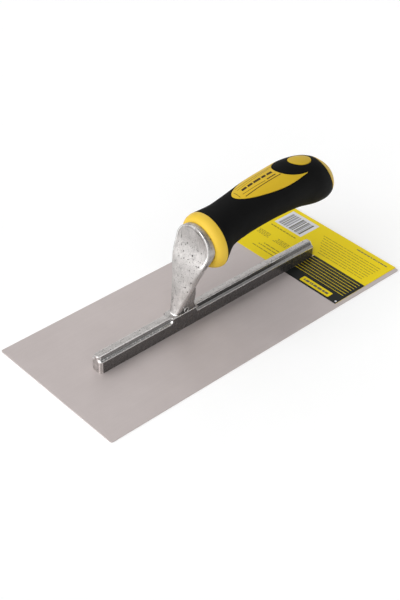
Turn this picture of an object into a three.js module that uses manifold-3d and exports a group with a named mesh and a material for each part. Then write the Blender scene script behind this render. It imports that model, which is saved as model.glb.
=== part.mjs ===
// Smooth finishing trowel: a thin steel blade riveted under a cast aluminium mounting, with a two-colour
// grip pushed over the mounting's tang and held there by one screw behind the butt cap.
// Millimetres. +Z is up from the blade, +X runs along the blade from its toe towards the grip's butt.
// Origin: centre of the blade's underside, the face that rests on the work.
import * as THREE from 'three';
import { mergeVertices } from 'three/addons/utils/BufferGeometryUtils.js';
import Module from 'manifold-3d';

const wasm = await Module();
wasm.setup();

// ---- driving dimensions ----
const GAP = 0.3; // clearance left between pieces that would otherwise share a curved or tilted face
const OVERLAP = 1; // how far joined bodies run into each other, and cuts run past a face
const BLADE = { length: 280, width: 120, thick: 0.7, cornerRadius: 1.5 };
const RIB = { toeX: -104, heelX: 105, toeTopZ: 14.1, heelTopZ: 13.9, halfWidth: 5.1, cornerRadius: 2.5 };
const RIB_BEVEL = { height: 3.8, inset: 2, endInset: 0.2 }; // the slope from each side up to the top
const RIB_EDGE = { inset: 0.5, drop: 0.5, toeRadius: 1.2, heelRadius: 4 };
const RIVET = { count: 8, pitch: 27, headRadius: 3.2, coneTopZ: 1.6, shankRadius: 2, topZ: 9 };
const AXIS = { x: -14, z: 63.9, tiltDeg: 3 }; // line of spigot, tang, screw and butt plug
const SPIGOT = { from: -3, to: 13, radius: 14.6 }; // stations along AXIS
const TANG = { to: 98, rootRadius: 6.2, tipRadius: 5, pilotRadius: 2.3, pilotDepth: 24 };
const COLLAR = { lipX: -11, rimX: -3, lipRadius: 15.9, rimRadius: 21, lipZ: 63.7, rimZ: 63.2, lean: 0.07 };
const GRIP = { endX: 116.8, endZ: 61.4, closeX: 101.5, closePower: 2.35, widthRatio: 0.95, wall: 2.7 };
const GRIP_FRONT = { roundUntilX: 9, leanUntilX: 40 }; // where the collar's round section and lean die out
const BUTT = { planeX: 102.9, planeZ: 84.7, slope: 0.31, plugRadius: 8.5, plugFrom: 111, plugTo: 124 };
const SEAT = { boreEnd: 100, holeRadius: 3, shoulder: 104, counterRadius: 8.8 }; // stations along AXIS
const WASHER = { thick: 1.2, outer: 7, inner: 2.4 };
const SCREW = { headRadius: 4.6, headHeight: 3.4, shankRadius: 2, length: 26 };
const LABEL = { innerX: 73, halfWidth: 56.7, thick: 0.3, slotEndX: 105.3, slotHalfWidth: 5.4 };

// Outer profile of the grip along X: the height of its top line and of its underside.
const GRIP_TOP = [[-3, 84.2], [8, 85.7], [22, 88.4], [40, 91.9], [58, 93.6], [76, 94.2], [94, 90.7],
  [108, 84.1]];
const GRIP_BOTTOM = [[-3, 42.2], [8, 51.6], [22, 55.3], [40, 57.3], [58, 57.7], [76, 56.7], [94, 52.7],
  [108, 51.2]];

// The grip's two top inlays in plan: a long drop, whose rear is scooped out by an ellipse, and an oval.
const INLAY = { frontX: 20, halfWidth: 13.8, tailX: 83.2, scoopX: 80, scoopAlong: 20.2, scoopAcross: 11.8 };
const OVAL = { x: 85.3, along: 10.5, across: 7 };
const WINDOW = { padFromZ: 80, holeFromZ: 75, toZ: 100 };

// The neck, slice by slice upwards: half width, place of its side edges along X, and how far the front
// face bulges towards the toe. It widens in straight lines, then closes over in a round head.
const NECK_HALF_WIDTH = [[7, 2.6], [13, 3.5], [36, 9.9], [53, 14.9], [59, 16.6], [64, 17], [69, 16.1],
  [73, 13.9], [76, 10.9], [78.3, 6.8], [79.4, 2.6]];
const NECK_EDGE_X = [[7, -36.5], [14, -33.1], [36, -25.9], [53, -20.1], [59, -17.2], [64, -15],
  [79.4, -15.1]];
const NECK_BULGE = [[7, 6], [11, 3.4], [16, 2.2], [36, 3], [53, 3.3], [59, 2.7], [64, 2.6], [69, 2.5],
  [73, 2.3], [76, 2], [78.3, 1.6], [79.4, 1]];
const NECK_SLICES = [7, 9, 11, 14, 20, 28, 36, 44, 50, 55, 59, 62, 65, 68, 71, 73.5, 75.5, 77.2, 78.5, 79.4];
const NECK_EDGE_THICK = [[46, 2.8], [62, 3.8]];
const NECK = { rimX: -12.5, rimZ: 79.4, rimLean: 0.07, bulgePower: 2.5, backInset: 0.3 };

// The web behind the neck: its rear edge, with the fillet where it runs out on the rib's top.
const WEB_BACK_X = [[7, -10], [12.2, -11.5], [13.6, -14.5], [15.5, -17.2], [19, -18.6], [24, -17.6],
  [33, -15], [40, -13.2], [46, -12.6], [54, -12.4]];
const WEB = { frontInset: 1.5, footHalfWidth: 4.7, topHalfWidth: 4.1, insideNeck: 0.3 };

const BLADE_TOP = BLADE.thick;
const CIRCLE_STEPS = 32;

// ---- small tools ----
const V = (x, y, z) => new THREE.Vector3(x, y, z);
const count = (n) => Array.from({ length: n }, (_, i) => i);
const mix = THREE.MathUtils.lerp;

// A smooth function of x through the given [x, value] pairs, level beyond both ends.
function curveThrough(points) {
  const last = points.length - 1;
  const slope = points.map((_, i) => {
    const a = points[Math.max(i - 1, 0)];
    const b = points[Math.min(i + 1, last)];
    return (b[1] - a[1]) / (b[0] - a[0]);
  });
  return (x) => {
    let i = 0;
    while (i < last - 1 && x > points[i + 1][0]) i += 1;
    const span = points[i + 1][0] - points[i][0];
    const t = THREE.MathUtils.clamp((x - points[i][0]) / span, 0, 1);
    const rise = points[i + 1][1] - points[i][1];
    const a = slope[i] * span - rise;
    const b = rise - slope[i + 1] * span;
    return points[i][1] + t * rise + t * (1 - t) * ((1 - t) * a + t * b);
  };
}

// A closed skin over rings of equal length, each ring turning anticlockwise about the way they follow.
function loft(rings) {
  const size = rings[0].length;
  const points = rings.flat();
  const index = [];
  for (let k = 0; k < rings.length - 1; k += 1) {
    for (let i = 0; i < size; i += 1) {
      const a = k * size + i;
      const b = k * size + ((i + 1) % size);
      index.push(a, b, b + size, a, b + size, a + size);
    }
  }
  addCap(points, index, rings[0], 0, true);
  addCap(points, index, rings[rings.length - 1], (rings.length - 1) * size, false);
  const geometry = new THREE.BufferGeometry().setFromPoints(points);
  geometry.setIndex(index);
  return geometry;
}

function addCap(points, index, ring, first, flipped) {
  const middle = ring.reduce((sum, p) => sum.add(p), V(0, 0, 0)).divideScalar(ring.length);
  const hub = points.push(middle) - 1;
  for (let i = 0; i < ring.length; i += 1) {
    const a = first + i;
    const b = first + ((i + 1) % ring.length);
    index.push(hub, ...(flipped ? [b, a] : [a, b]));
  }
}

function solid(geometry) {
  const bare = geometry.clone();
  bare.deleteAttribute('normal');
  bare.deleteAttribute('uv');
  const merged = mergeVertices(bare, 1e-5);
  return new wasm.Manifold(new wasm.Mesh({
    numProp: 3,
    vertProperties: new Float32Array(merged.attributes.position.array),
    triVerts: new Uint32Array(merged.index.array),
  }));
}

function geometryOf(manifold) {
  const mesh = manifold.getMesh();
  const geometry = new THREE.BufferGeometry();
  geometry.setAttribute('position', new THREE.BufferAttribute(new Float32Array(mesh.vertProperties), 3));
  geometry.setIndex(new THREE.BufferAttribute(new Uint32Array(mesh.triVerts), 1));
  geometry.computeVertexNormals();
  return geometry;
}

const joined = (first, ...others) => others.reduce((sum, next) => sum.add(next), first);
const cut = (first, ...others) => others.reduce((rest, next) => rest.subtract(next), first);

// A turned shape on the handle axis, from [radius, station] pairs that start and end on the axis.
function turned(profile, steps = CIRCLE_STEPS) {
  const geometry = new THREE.LatheGeometry(profile.map(([r, s]) => new THREE.Vector2(r, s)), steps);
  return geometry.rotateZ(-Math.PI / 2)
    .rotateY(-THREE.MathUtils.degToRad(AXIS.tiltDeg))
    .translate(AXIS.x, 0, AXIS.z);
}

const rod = (radius, from, to, steps) => turned([[0, from], [radius, from], [radius, to], [0, to]], steps);

// An outline in the XZ plane, made into a slab centred on the XZ plane.
function slabXZ(shape, width) {
  const geometry = new THREE.ExtrudeGeometry(shape, { depth: width, bevelEnabled: false, curveSegments: 6 });
  return geometry.rotateX(Math.PI / 2).translate(0, width / 2, 0);
}

function prismXY(shape, fromZ, toZ, steps = 12) {
  const options = { depth: toZ - fromZ, bevelEnabled: false, curveSegments: steps };
  return new THREE.ExtrudeGeometry(shape, options).translate(0, 0, fromZ);
}

function roundedRectangle(fromX, toX, halfWidth, radius, z) {
  const steps = 5;
  const centres = [[toX - radius, radius - halfWidth], [toX - radius, halfWidth - radius],
    [fromX + radius, halfWidth - radius], [fromX + radius, radius - halfWidth]];
  return centres.flatMap(([x, y], quarter) => count(steps + 1).map((i) => {
    const angle = (quarter - 1 + i / steps) * (Math.PI / 2);
    return V(x + radius * Math.cos(angle), y + radius * Math.sin(angle), z);
  }));
}

// ---- blade and rivets ----
const rivetMiddle = (RIB.toeX + RIB.heelX) / 2;
const rivetX = count(RIVET.count).map((i) => (i - (RIVET.count - 1) / 2) * RIVET.pitch + rivetMiddle);

// Countersunk rivet standing on z = 0; grown by the clearance, it is also the hole that takes it.
function rivetShape(grow) {
  const headBottom = grow > 0 ? -OVERLAP : 0;
  const profile = [[0, headBottom], [RIVET.headRadius + grow, headBottom], [RIVET.headRadius + grow, 0],
    [RIVET.shankRadius + grow, RIVET.coneTopZ], [RIVET.shankRadius + grow, RIVET.topZ + grow],
    [0, RIVET.topZ + grow]];
  const differs = (p, q) => p[0] !== q[0] || p[1] !== q[1];
  const unique = profile.filter((p, i) => i === 0 || differs(p, profile[i - 1]));
  return new THREE.LatheGeometry(unique.map(([r, z]) => new THREE.Vector2(r, z)), 16).rotateX(Math.PI / 2);
}

function rivetHoles() {
  return rivetX.map((x) => solid(rivetShape(GAP).translate(x, 0, 0)));
}

function blade() {
  const end = BLADE.length / 2;
  const ring = (z) => roundedRectangle(-end, end, BLADE.width / 2, BLADE.cornerRadius, z);
  return geometryOf(cut(solid(loft([ring(0), ring(BLADE_TOP)])), ...rivetHoles()));
}

// ---- cast mounting: rib, neck, web, spigot and tang in one casting ----
function rib() {
  const outline = (sides, ends) => roundedRectangle(
    RIB.toeX + ends, RIB.heelX - ends, RIB.halfWidth - sides, RIB.cornerRadius, 0);
  const along = (x) => (x - RIB.toeX) / (RIB.heelX - RIB.toeX);
  const topZ = (x) => mix(RIB.toeTopZ, RIB.heelTopZ, along(x));
  const belowTop = (drop, sides, ends) => outline(sides, ends).map(({ x, y }) => V(x, y, topZ(x) - drop));
  const bar = loft([
    outline(0, 0).map(({ x, y }) => V(x, y, BLADE_TOP)),
    belowTop(RIB_BEVEL.height, 0, 0),
    belowTop(RIB_EDGE.drop, RIB_BEVEL.inset, RIB_BEVEL.endInset),
    belowTop(0, RIB_BEVEL.inset + RIB_EDGE.inset, RIB_BEVEL.endInset + RIB_EDGE.inset),
  ]);
  const side = new THREE.Shape();
  const toeArcX = RIB.toeX + RIB_EDGE.toeRadius;
  const heelArcX = RIB.heelX - RIB_EDGE.heelRadius;
  side.moveTo(RIB.toeX - 2, -1);
  side.lineTo(RIB.heelX + 2, -1);
  side.lineTo(RIB.heelX + 2, RIB.heelTopZ - RIB_EDGE.heelRadius);
  side.absarc(heelArcX, RIB.heelTopZ - RIB_EDGE.heelRadius, RIB_EDGE.heelRadius, 0, Math.PI / 2, false);
  side.absarc(toeArcX, RIB.toeTopZ - RIB_EDGE.toeRadius, RIB_EDGE.toeRadius, Math.PI / 2, Math.PI, false);
  side.lineTo(RIB.toeX - 2, RIB.toeTopZ - RIB_EDGE.toeRadius);
  return solid(bar).intersect(solid(slabXZ(side, RIB.halfWidth * 4)));
}

// The neck's front flange and head: slices with a bulged front, thin edges and a flat back.
function neck() {
  const halfWidth = curveThrough(NECK_HALF_WIDTH);
  const edgeX = curveThrough(NECK_EDGE_X);
  const bulge = curveThrough(NECK_BULGE);
  const edgeThick = curveThrough(NECK_EDGE_THICK);
  const steps = 16;
  return solid(loft(NECK_SLICES.map((z) => {
    const front = count(steps + 1).map((i) => {
      const angle = Math.PI / 2 + (Math.PI * i) / steps;
      const across = Math.sign(Math.sin(angle)) * Math.abs(Math.sin(angle)) ** (2 / NECK.bulgePower);
      const ahead = Math.abs(Math.cos(angle)) ** (2 / NECK.bulgePower);
      return V(edgeX(z) - bulge(z) * ahead, halfWidth(z) * across, z);
    });
    const backX = Math.min(edgeX(z) + edgeThick(z), NECK.rimX + NECK.rimLean * (NECK.rimZ - z));
    const backHalf = Math.max(halfWidth(z) - NECK.backInset, halfWidth(z) / 2);
    return [...front, V(backX, -backHalf, z), V(backX, backHalf, z)];
  })));
}

function web() {
  const neckHalfWidth = curveThrough(NECK_HALF_WIDTH);
  const edgeX = curveThrough(NECK_EDGE_X);
  const backX = curveThrough(WEB_BACK_X);
  const foot = WEB_BACK_X[0][0];
  const top = WEB_BACK_X[WEB_BACK_X.length - 1][0];
  return solid(loft(WEB_BACK_X.map(([z]) => {
    const half = mix(WEB.footHalfWidth, WEB.topHalfWidth, (z - foot) / (top - foot));
    const front = edgeX(z) + WEB.frontInset;
    const frontHalf = Math.min(half, neckHalfWidth(z) - WEB.insideNeck);
    return [V(backX(z), -half, z), V(backX(z), half, z), V(front, frontHalf, z), V(front, -frontHalf, z)];
  })));
}

function mountingCasting() {
  const spigot = solid(rod(SPIGOT.radius, SPIGOT.from, SPIGOT.to));
  const root = SPIGOT.to - OVERLAP;
  const profile = [[0, root], [TANG.rootRadius, root], [TANG.tipRadius, TANG.to], [0, TANG.to]];
  const tang = solid(turned(profile, 24));
  const pilot = solid(rod(TANG.pilotRadius, TANG.to - TANG.pilotDepth, TANG.to + OVERLAP, 16));
  const casting = joined(rib(), neck(), web(), spigot, tang);
  return geometryOf(cut(casting, pilot, ...rivetHoles()));
}

// ---- grip: core, rubber cover and butt cap share one outer surface ----
const topLine = curveThrough(GRIP_TOP);
const bottomLine = curveThrough(GRIP_BOTTOM);

function leaningRing(x, centreZ, halfWidth, halfHeight, lean) {
  return count(CIRCLE_STEPS).map((i) => {
    const angle = (2 * Math.PI * i) / CIRCLE_STEPS;
    const up = halfHeight * Math.sin(angle);
    return V(x - lean * up, halfWidth * Math.cos(angle), centreZ + up);
  });
}

// One cross-section of the grip, taken in by the inset all round. Its ends close in a round butt.
function gripRing(x, inset) {
  const s = THREE.MathUtils.clamp((x - GRIP.closeX) / (GRIP.endX - GRIP.closeX), 0, 1);
  const open = Math.sqrt(1 - s ** GRIP.closePower);
  const top = GRIP.endZ + (topLine(x) - GRIP.endZ) * open;
  const bottom = GRIP.endZ - (GRIP.endZ - bottomLine(x)) * open;
  const behindRim = (x - COLLAR.rimX) / (GRIP_FRONT.roundUntilX - COLLAR.rimX);
  const half = (top - bottom) / 2;
  const halfWidth = half * mix(1, GRIP.widthRatio, THREE.MathUtils.clamp(behindRim, 0, 1));
  const lean = COLLAR.lean * (1 - THREE.MathUtils.smoothstep(x, COLLAR.rimX, GRIP_FRONT.leanUntilX));
  return leaningRing(x, (top + bottom) / 2, halfWidth - inset, half - inset, lean);
}

function gripBody(fromX, inset) {
  const stations = count(15).map((i) => mix(COLLAR.rimX, GRIP.closeX, i / 15));
  const barrel = [fromX, ...stations.filter((x) => x > fromX)];
  const roundEnd = inset > 0 ? [0, 0.25, 0.5, 0.7] : [0, 0.22, 0.43, 0.62, 0.78, 0.9, 0.97, 0.999];
  const dome = roundEnd.map((s) => mix(GRIP.closeX, GRIP.endX, s));
  return solid(loft([...barrel, ...dome].map((x) => gripRing(x, inset))));
}

// Everything behind the sloping plane where the butt cap starts, moved along by the shift.
function behindButtPlane(shift) {
  const size = 140;
  const box = new THREE.BoxGeometry(size, size, size).translate(size / 2, 0, 0);
  return solid(box.rotateY(-Math.atan(BUTT.slope)).translate(BUTT.planeX + shift, 0, BUTT.planeZ));
}

function inlayOutline(grow) {
  const front = INLAY.frontX - grow;
  const wide = INLAY.halfWidth + grow;
  const tailX = INLAY.tailX + grow;
  const across = INLAY.scoopAcross - grow;
  const shape = new THREE.Shape();
  shape.moveTo(front, 0);
  shape.bezierCurveTo(front, -7.6, 42, -wide, 67, -wide);
  shape.quadraticCurveTo(75, -wide, tailX, -across - grow);
  shape.lineTo(INLAY.scoopX, -across);
  shape.absellipse(INLAY.scoopX, 0, INLAY.scoopAlong - grow, across, -Math.PI / 2, -1.5 * Math.PI, true);
  shape.lineTo(tailX, across + grow);
  shape.quadraticCurveTo(75, wide, 67, wide);
  shape.bezierCurveTo(42, wide, front, 7.6, front, 0);
  return shape;
}

function ovalOutline(grow) {
  const shape = new THREE.Shape();
  shape.absellipse(OVAL.x, 0, OVAL.along + grow, OVAL.across + grow, 0, 2 * Math.PI, false);
  return shape;
}

function windows(fromZ, grow) {
  return [solid(prismXY(inlayOutline(grow), fromZ, WINDOW.toZ)),
    solid(prismXY(ovalOutline(grow), fromZ, WINDOW.toZ, 20))];
}

// Hard core: the collar in front, the body under the rubber, and the two pads that show through it.
function handleCore() {
  const collarRings = count(7).map((i) => {
    const angle = (i / 6) * (Math.PI / 2);
    const back = 1 - Math.cos(angle);
    const x = mix(COLLAR.lipX, COLLAR.rimX, back);
    const radius = mix(COLLAR.lipRadius, COLLAR.rimRadius, Math.sin(angle));
    return leaningRing(x, mix(COLLAR.lipZ, COLLAR.rimZ, back), radius, radius, COLLAR.lean);
  });
  const body = gripBody(COLLAR.rimX - OVERLAP, GRIP.wall + GAP);
  const pads = windows(WINDOW.padFromZ, 0).map((prism) => prism.intersect(gripBody(COLLAR.rimX, 0)));
  const socket = solid(rod(SPIGOT.radius + 2 * GAP, SPIGOT.from - 2 * OVERLAP, SPIGOT.to + GAP));
  const bore = solid(rod(TANG.rootRadius + 2 * GAP, SPIGOT.to, SEAT.boreEnd, 24));
  const screwHole = solid(rod(SEAT.holeRadius, SEAT.boreEnd - OVERLAP, SEAT.shoulder + OVERLAP, 16));
  const counterbore = solid(rod(SEAT.counterRadius, SEAT.shoulder, BUTT.plugTo + OVERLAP));
  const whole = joined(solid(loft(collarRings)), body, ...pads);
  return geometryOf(cut(whole, socket, bore, screwHole, counterbore, behindButtPlane(-GAP)));
}

// Rubber cover moulded over the core, with a window for each pad.
function rubberGrip() {
  const shell = gripBody(COLLAR.rimX + GAP, 0).subtract(gripBody(COLLAR.rimX - OVERLAP, GRIP.wall));
  return geometryOf(cut(shell, ...windows(WINDOW.holeFromZ, GAP), behindButtPlane(-GAP)));
}

// Rounded end of the grip with a plug that presses into the core's counterbore.
function buttCap() {
  const dome = gripBody(COLLAR.rimX, 0).intersect(behindButtPlane(0));
  const plug = solid(rod(BUTT.plugRadius, BUTT.plugFrom, BUTT.plugTo));
  return geometryOf(joined(dome, plug));
}

// ---- screw and washer that hold the grip on the tang ----
const washerFrom = SEAT.shoulder + GAP;
const headFrom = washerFrom + WASHER.thick + GAP;

function washer() {
  const points = [[WASHER.inner, 0], [WASHER.outer, 0], [WASHER.outer, WASHER.thick],
    [WASHER.inner, WASHER.thick], [WASHER.inner, 0]];
  return turned(points.map(([r, s]) => [r, s + washerFrom]), 24);
}

function tangScrew() {
  const { headRadius: head, headHeight: height, shankRadius: shank, length } = SCREW;
  return turned([[0, headFrom - length], [shank * 0.6, headFrom - length], [shank, headFrom - length + 1.5],
    [shank, headFrom], [head, headFrom], [head, headFrom + height * 0.6], [head * 0.7, headFrom + height],
    [0, headFrom + height]], 20);
}

// ---- printed card over the blade's heel end, slotted for the rib and folded down at the edge ----
function label() {
  const innerEnd = BLADE.length / 2;
  const outerEnd = innerEnd + LABEL.thick;
  const top = BLADE_TOP + LABEL.thick;
  const side = new THREE.Shape();
  side.moveTo(LABEL.innerX, BLADE_TOP);
  side.lineTo(innerEnd, BLADE_TOP);
  side.lineTo(innerEnd, 0);
  side.lineTo(outerEnd, 0);
  side.lineTo(outerEnd, top);
  side.lineTo(LABEL.innerX, top);
  const slotFrom = LABEL.innerX - OVERLAP;
  const slot = new THREE.BoxGeometry(LABEL.slotEndX - slotFrom, 2 * LABEL.slotHalfWidth, 2 * OVERLAP);
  slot.translate((LABEL.slotEndX + slotFrom) / 2, 0, top);
  return geometryOf(cut(solid(slabXZ(side, 2 * LABEL.halfWidth)), solid(slot)));
}

// ---- assembly ----
const metal = (color, roughness) => new THREE.MeshStandardMaterial({ color, roughness, metalness: 1 });
const plastic = (color, roughness) => new THREE.MeshStandardMaterial({ color, roughness, metalness: 0 });
const STEEL = 0xb7aca9;
const ALUMINIUM = 0xc4c0bc;
const ZINC = 0xa9abad;
const YELLOW = 0xe2bc42;
const BLACK = 0x17181a;
const CARD = 0xe6d21e;

const group = new THREE.Group();

function place(name, geometry, material) {
  const mesh = new THREE.Mesh(geometry, material);
  mesh.name = name;
  group.add(mesh);
}

place('blade', blade(), metal(STEEL, 0.35));
rivetX.forEach((x, i) => place(`rivet_${i + 1}`, rivetShape(0).translate(x, 0, 0), metal(ALUMINIUM, 0.4)));
place('mounting_casting', mountingCasting(), metal(ALUMINIUM, 0.5));
place('handle_core', handleCore(), plastic(YELLOW, 0.45));
place('rubber_grip', rubberGrip(), plastic(BLACK, 0.7));
place('tang_washer', washer(), metal(ZINC, 0.35));
place('tang_screw', tangScrew(), metal(ZINC, 0.35));
place('butt_cap', buttCap(), plastic(YELLOW, 0.45));
place('label', label(), plastic(CARD, 0.6));

export default group;
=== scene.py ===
"""The looks of a smooth finishing trowel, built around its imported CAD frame.

Lengths are in millimetres until a mesh is made, where MM turns them into metres. The frame's origin is the centre
of the blade's underside, +X runs to the butt of the grip and +Z is up.
"""
import math
import random

import bmesh
import bpy
import numpy as np
from mathutils import Matrix, Vector
from mathutils.geometry import delaunay_2d_cdt


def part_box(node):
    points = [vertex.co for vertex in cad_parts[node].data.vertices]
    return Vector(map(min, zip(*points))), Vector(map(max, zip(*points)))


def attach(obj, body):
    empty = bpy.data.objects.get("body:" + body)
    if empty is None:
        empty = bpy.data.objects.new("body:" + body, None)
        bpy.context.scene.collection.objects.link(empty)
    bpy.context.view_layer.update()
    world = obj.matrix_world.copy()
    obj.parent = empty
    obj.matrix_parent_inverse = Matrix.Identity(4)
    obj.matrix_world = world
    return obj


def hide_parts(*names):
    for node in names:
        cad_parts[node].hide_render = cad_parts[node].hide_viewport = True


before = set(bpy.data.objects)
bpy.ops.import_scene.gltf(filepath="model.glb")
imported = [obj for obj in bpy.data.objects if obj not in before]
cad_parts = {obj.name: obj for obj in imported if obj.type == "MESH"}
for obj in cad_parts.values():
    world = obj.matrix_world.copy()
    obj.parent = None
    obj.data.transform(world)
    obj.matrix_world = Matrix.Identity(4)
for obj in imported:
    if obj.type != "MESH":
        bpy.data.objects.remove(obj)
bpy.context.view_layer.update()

MM = 0.001
GAP = 0.3  # clearance that the CAD solids keep between neighbours
SNUG = GAP / 3  # clearance between the rubber and the pieces that show beside it

# ---------------------------------------------------------------- sizes, from the frame and the CAD's own curves


def box_mm(node):
    low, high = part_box(node)
    return np.array(low) / MM, np.array(high) / MM


BLADE_LOW, BLADE_HIGH = box_mm("blade")
CASTING_LOW, CASTING_HIGH = box_mm("mounting_casting")
LABEL_LOW, LABEL_HIGH = box_mm("label")
BUTT_HIGH = box_mm("butt_cap")[1]
BLADE_TOP = BLADE_HIGH[2]

RIB = {"toe": CASTING_LOW[0], "heel": CASTING_HIGH[0], "half": 5.1, "corner": 2.5}
RIB_TOP = [(-104, 14.1), (-40, 14.1), (-8, 14.2), (60, 14.2), (105, 13.9)]
RIB_LEDGE = [(-104, 10.2), (10, 10.1), (55, 10.1), (70, 9.9), (85, 9.7), (105, 9.2)]
AXIS = {"x": -14.0, "z": 63.9, "tilt": math.radians(3)}
SPIGOT = {"from": -3, "to": 13, "radius": 14.6}
TANG = {"to": 98, "root": 6.2, "tip": 5.0}
COLLAR = {"lip_x": -11, "rim_x": -3, "lip_r": 15.9, "rim_r": 21, "lip_z": 63.7, "rim_z": 63.2, "lean": 0.07}
GRIP = {"end_x": BUTT_HIGH[0], "end_z": 61.4, "close_x": 101.5, "power": 2.35, "width": 0.95, "wall": 2.7}
BUTT = {"x": 102.9, "z": 84.7, "slope": 0.31}

GRIP_TOP = [(-3, 84.2), (8, 85.7), (22, 88.4), (40, 91.9), (58, 93.6), (76, 94.2), (94, 90.7), (108, 84.1)]
GRIP_BOTTOM = [(-3, 42.2), (8, 51.6), (22, 55.3), (40, 57.3), (58, 57.7), (76, 56.7), (94, 52.7), (108, 51.2)]
NECK_HALF = [(7, 2.6), (13, 3.5), (36, 9.9), (53, 14.9), (59, 16.6), (64, 17.0)]
NECK_EDGE = [(7, -36.5), (14, -33.1), (36, -25.9), (53, -20.1), (59, -17.3), (64, -15.4), (69, -14.9), (80, -14.9)]
NECK_BULGE = [(7, 6), (11, 3.4), (16, 2.2), (36, 3), (53, 3.3), (59, 2.7), (64, 2.6), (69, 2.5), (80, 2.3)]
NECK_THICK = [(46, 2.8), (62, 3.8)]
NECK_POWER = [(40, 2.5), (62, 8)]
NECK = {"head_z": 64, "head_r": 15.6, "rim_x": -12.5, "rim_z": 79.4, "rim_lean": 0.07, "foot_z": 13.4}
WEB_BACK = [(7, -10), (12.2, -11.5), (13.6, -14.5), (15.5, -17.2), (19, -18.6), (24, -17.6), (33, -15),
            (40, -13.2), (46, -12.6), (54, -12.4)]
WEB = {"foot_half": 5.0, "top_half": 4.1, "tongue_half": 2.4, "front": 1.5, "round": 0.5}
EJECTOR = {"x": -26.3, "z": 16.3, "radius": 1.9, "wire": 0.28}


def curve(points):
    """A smooth function through the (x, value) points, level beyond both ends."""
    xs, ys = (np.array(column, float) for column in zip(*points))
    slopes = np.empty_like(ys)
    slopes[1:-1] = (ys[2:] - ys[:-2]) / (xs[2:] - xs[:-2])
    slopes[0] = (ys[1] - ys[0]) / (xs[1] - xs[0])
    slopes[-1] = (ys[-1] - ys[-2]) / (xs[-1] - xs[-2])

    def at(x):
        x = np.asarray(x, float)
        i = np.clip(np.searchsorted(xs, x) - 1, 0, len(xs) - 2)
        span = xs[i + 1] - xs[i]
        t = np.clip((x - xs[i]) / span, 0, 1)
        rise = ys[i + 1] - ys[i]
        a = slopes[i] * span - rise
        b = rise - slopes[i + 1] * span
        return ys[i] + t * rise + t * (1 - t) * ((1 - t) * a + t * b)

    return at


def smoothstep(x, low, high):
    t = np.clip((np.asarray(x, float) - low) / (high - low), 0, 1)
    return t * t * (3 - 2 * t)


def mix(a, b, t):
    return a + (b - a) * t


def full_turn(steps):
    return np.linspace(0, 2 * math.pi, steps, endpoint=False)


# ---------------------------------------------------------------- camera, light and floor

CAMERA = {"at": (-0.49524, -0.51519, 0.56687), "target": (0.00195, 0.01141, 0.0007), "roll": 1.41, "lens": 75.7}


def make_camera():
    data = bpy.data.cameras.new("camera")
    data.lens = CAMERA["lens"]
    data.sensor_width = 36
    data.clip_start = 0.01
    camera = bpy.data.objects.new("camera", data)
    at, target = Vector(CAMERA["at"]), Vector(CAMERA["target"])
    turn = (target - at).to_track_quat("-Z", "Y").to_matrix().to_4x4()
    roll = Matrix.Rotation(math.radians(CAMERA["roll"]), 4, "Z")
    camera.matrix_world = Matrix.Translation(at) @ turn @ roll
    bpy.context.scene.collection.objects.link(camera)
    bpy.context.scene.camera = camera


def make_light(name, at, size, power, target=(0, 0, 0.03)):
    data = bpy.data.lights.new(name, "AREA")
    data.shape = "RECTANGLE"
    data.size, data.size_y = size
    data.energy = power
    light = bpy.data.objects.new(name, data)
    at, target = Vector(at), Vector(target)
    light.matrix_world = Matrix.Translation(at) @ (target - at).to_track_quat("-Z", "Y").to_matrix().to_4x4()
    bpy.context.scene.collection.objects.link(light)


# Soft lights of the studio: direction, narrowness and strength.
LIGHTS = [((-1, 0, 0.5), 3, 3.44), ((0.54, 0.56, 0.62), 6, 1.37), ((0.69, -0.72, 0), 3, 0.46),
          ((-0.3, -0.8, 0.5), 4, 0.21)]


def make_world():
    """A dark studio with large soft lights, which fade out towards their rims."""
    world = bpy.data.worlds.new("studio")
    bpy.context.scene.world = world
    world.use_nodes = True
    nodes, links = world.node_tree.nodes, world.node_tree.links
    direction = nodes.new("ShaderNodeTexCoord").outputs["Generated"]

    def maths(operation, a, b):
        node = nodes.new("ShaderNodeMath")
        node.operation = operation
        for socket, value in enumerate((a, b)):
            if isinstance(value, bpy.types.NodeSocket):
                links.new(value, node.inputs[socket])
            else:
                node.inputs[socket].default_value = value
        return node.outputs["Value"]

    total = 0.0
    for axis, narrow, strength in LIGHTS:
        towards = nodes.new("ShaderNodeVectorMath")
        towards.operation = "DOT_PRODUCT"
        towards.inputs[1].default_value = Vector(axis).normalized()
        links.new(direction, towards.inputs[0])
        facing = maths("MAXIMUM", towards.outputs["Value"], 0.0)
        total = maths("ADD", maths("MULTIPLY", maths("POWER", facing, narrow), strength), total)
    links.new(total, nodes["Background"].inputs["Strength"])
    nodes["Background"].inputs["Color"].default_value = (1, 1, 1, 1)


FLOOR = {"reach": 15000, "below": 0.05}  # half its width, and how far it lies under the blade


def make_stage():
    make_world()
    make_light("glint", (-0.33, -0.70, 0.60), (0.10, 0.10), 0.10)
    reach = FLOOR["reach"]
    floor = mesh_piece("floor", [(-reach, -reach, 0), (reach, -reach, 0), (reach, reach, 0), (-reach, reach, 0)],
                       [(0, 1, 2, 3)], [floor_paper()])
    floor.location.z = -FLOOR["below"] * MM
    bpy.context.scene.view_settings.view_transform = "Standard"


# ---------------------------------------------------------------- mesh tools


def mesh_piece(name, points, faces, materials, sharp=None):
    """An object from points in millimetres. Edges that turn by more than the sharp angle in degrees stay crisp."""
    mesh = bpy.data.meshes.new(name)
    mesh.from_pydata([tuple(MM * float(c) for c in p) for p in points], [], [tuple(map(int, f)) for f in faces])
    for material in materials:
        mesh.materials.append(material)
    piece = bpy.data.objects.new(name, mesh)
    bpy.context.scene.collection.objects.link(piece)
    if sharp is not None:
        weld(piece)
        smooth_shade(piece, sharp)
    return piece


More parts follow.
